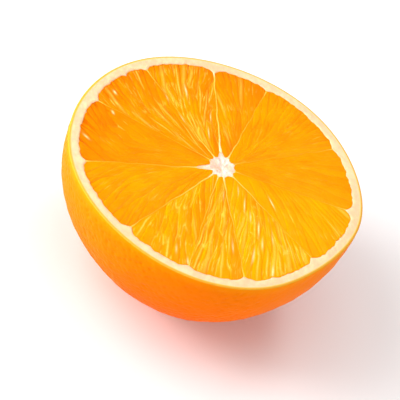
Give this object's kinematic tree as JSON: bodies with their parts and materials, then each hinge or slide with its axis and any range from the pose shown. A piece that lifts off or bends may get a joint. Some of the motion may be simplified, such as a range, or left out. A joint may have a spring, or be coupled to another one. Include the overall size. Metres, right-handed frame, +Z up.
{
  "type": "orange half",
  "caption": "Orange cut across the middle, lying on its peel with the cut face up: segments between pale membranes, a small white core and a ring of pith inside a domed peel.",
  "frame": {"origin": "on the floor, under the middle of the half's bounding box", "axes": "+Z up, out of the cut face; +X and +Y along the cut face, level"},
  "size_m": [0.0768, 0.0784, 0.037],
  "materials": {
    "peel": "waxy orange peel with fine pores, satin gloss",
    "pith": "soft cream-white pith, core and membranes, matt",
    "flesh": "wet translucent juice sacs, glossy"
  },
  "bodies": {
    "root": {"orange_half": "peel"}
  },
  "joints": []
}
